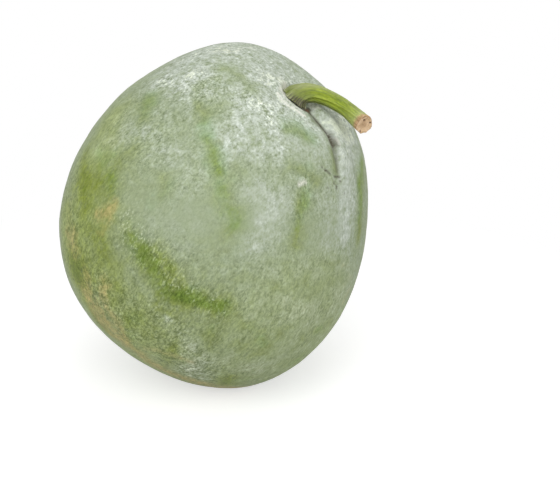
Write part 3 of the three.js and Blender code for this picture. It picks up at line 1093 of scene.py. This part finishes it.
class PUMPKIN_OT_add_fruit(bpy.types.Operator):
    """Add the fruit: its body, creases, stem seat and bloomed rind"""

    bl_idname = "pumpkin.add_fruit"
    bl_label = "Add Fruit"
    bl_options = {"REGISTER", "UNDO"}

    def execute(self, context):
        profile = []
        for i in range(FRUIT_RINGS + 1):
            polar = math.pi * (i / FRUIT_RINGS) ** RING_CROWDING
            profile.append((math.sin(polar), math.cos(polar)))
        profile[0], profile[-1] = (0, 1), (0, -1)
        mesh = revolved(profile, FRUIT_MERIDIANS, "pumpkin_body")
        ways = coordinates(mesh)
        ways /= np.linalg.norm(ways, axis=1, keepdims=True)
        move_to(mesh, in_place(settle(ways, relief_of(ways) + fine_relief(ways))))

        loose = ways
        for waves in LOOSE_WAVES:
            loose = ragged(loose, *waves)
        crisp = ragged(ways, *CRISP_WAVES)
        for lay, places, layers in (
            (added_up, loose, {"bloom": BLOOM, "coarse": COARSE}),
            (painted, loose, {"fresh": FRESH, "yellowed": YELLOWED, "stained": STAINS, "flecked": FLECKED}),
            (painted, crisp, {"dirt_and_shade": DIRT_AND_SHADE, "cream": CREAM, "rust": RUST}),
        ):
            for name, marks in layers.items():
                write_field(mesh, name, lay(places, marks))
        write_field(mesh, "far_side", far_side(ways))
        add_piece("pumpkin_body", mesh, rind_material(context.scene.pumpkin_rind), "fruit")
        return {"FINISHED"}


class PUMPKIN_OT_add_stalk(bpy.types.Operator):
    """Add the curved, ridged stalk with its dried end"""

    bl_idname = "pumpkin.add_stalk"
    bl_label = "Add Stalk"
    bl_options = {"REGISTER", "UNDO"}

    def execute(self, context):
        mesh = stalk_mesh()
        add_piece("pumpkin_stem", mesh, stalk_material(context.scene.pumpkin_stalk), "stem")
        return {"FINISHED"}


# Lamps as (name, place m, size m, power W)
LAMPS = (
    ("key_lamp", (-0.3, -1.5, 1.5), 1.8, 22),
    ("top_lamp", (0.2, 0.1, 2.1), 1.6, 8),
    ("left_lamp", (-1.6, -0.9, 0.8), 1.2, 4),
    ("right_lamp", (1.5, -1.0, 0.8), 1.2, 8),
    ("back_lamp", (0.2, 1.9, 0.9), 1.6, 5),
)
FLOOR_RADIUS = 2.0
FLOOR_SHADE = (0.6, 0.6, 0.6)  # the floor's own colour, which the shadow darkens
FLOOR_FADE = (0.2, 0.45)  # from the object's shadow to plain white, m from the middle


def add_camera(look):
    """The camera, level from side to side and aimed beside the growth centre."""
    lens = bpy.data.cameras.new("camera")
    lens.lens = look.lens
    lens.sensor_width = 36
    lens.clip_end = 20
    camera = link_object("camera", lens)
    rise = look.height
    up = Vector((0, math.sin(rise), math.cos(rise)))
    back = Vector((0, -math.cos(rise), math.sin(rise)))
    aim = Vector(CENTRE) * MM + Vector((look.aim_right, 0, 0)) + up * look.aim_up
    camera.location = aim + back * look.distance
    camera.rotation_euler = (math.pi / 2 - rise, 0, 0)
    bpy.context.scene.camera = camera


def add_lamps():
    target = Vector(CENTRE) * MM
    for name, spot, size, power in LAMPS:
        light = bpy.data.lights.new(name, "AREA")
        light.shape = "DISK"
        light.size = size
        light.energy = power
        lamp = link_object(name, light)
        lamp.location = spot
        lamp.rotation_euler = (target - Vector(spot)).to_track_quat("-Z", "Y").to_euler()


def add_sky(look):
    """Even light from all round, which the camera sees as plain white."""
    world = bpy.data.worlds.new("white_room")
    bpy.context.scene.world = world
    g = Graph(world)
    strength = g.ease(seen_by_eye(g), 0, 1, look.sky, 1.0)
    sky = g.node("Background", {"Color": (1.0, 1.0, 1.0, 1.0), "Strength": strength})
    g.node("OutputWorld", {"Surface": sky.outputs[0]})


def add_floor(look):
    bm = bmesh.new()
    bmesh.ops.create_circle(bm, cap_ends=True, radius=FLOOR_RADIUS, segments=96)
    mesh = bpy.data.meshes.new("floor")
    bm.to_mesh(mesh)
    bm.free()
    mesh.materials.append(floor_material(look))
    link_object("floor", mesh)


class PUMPKIN_OT_add_stage(bpy.types.Operator):
    """Add the floor, the lamps, the sky light and the camera"""

    bl_idname = "pumpkin.add_stage"
    bl_label = "Add Stage"
    bl_options = {"REGISTER", "UNDO"}

    def execute(self, context):
        look = context.scene.pumpkin_stage
        add_floor(look)
        add_lamps()
        add_sky(look)
        add_camera(look)
        context.scene.view_settings.view_transform = "Standard"
        return {"FINISHED"}


class PUMPKIN_PT_sidebar(bpy.types.Panel):
    """The pumpkin's pieces and their settings"""

    bl_idname = "PUMPKIN_PT_sidebar"
    bl_label = "White Pumpkin"
    bl_space_type = "VIEW_3D"
    bl_region_type = "UI"
    bl_category = "Pumpkin"

    def draw(self, context):
        scene = context.scene
        for operator, settings in (
            (PUMPKIN_OT_add_fruit, scene.pumpkin_rind),
            (PUMPKIN_OT_add_stalk, scene.pumpkin_stalk),
            (PUMPKIN_OT_add_stage, scene.pumpkin_stage),
        ):
            box = self.layout.box()
            box.operator(operator.bl_idname)
            for name in settings.__annotations__:
                box.prop(settings, name)


CLASSES = (
    PumpkinRindSettings,
    PumpkinStalkSettings,
    PumpkinStageSettings,
    PUMPKIN_OT_add_fruit,
    PUMPKIN_OT_add_stalk,
    PUMPKIN_OT_add_stage,
    PUMPKIN_PT_sidebar,
)
SETTINGS = {
    "pumpkin_rind": PumpkinRindSettings,
    "pumpkin_stalk": PumpkinStalkSettings,
    "pumpkin_stage": PumpkinStageSettings,
}


def register():
    for made in CLASSES:
        bpy.utils.register_class(made)
    for name, kind in SETTINGS.items():
        setattr(bpy.types.Scene, name, bpy.props.PointerProperty(type=kind))


def unregister():
    for name in SETTINGS:
        delattr(bpy.types.Scene, name)
    for made in reversed(CLASSES):
        bpy.utils.unregister_class(made)


def main():
    register()
    bpy.ops.pumpkin.add_fruit()
    bpy.ops.pumpkin.add_stalk()
    bpy.ops.pumpkin.add_stage()


if __name__ == "__main__":
    main()
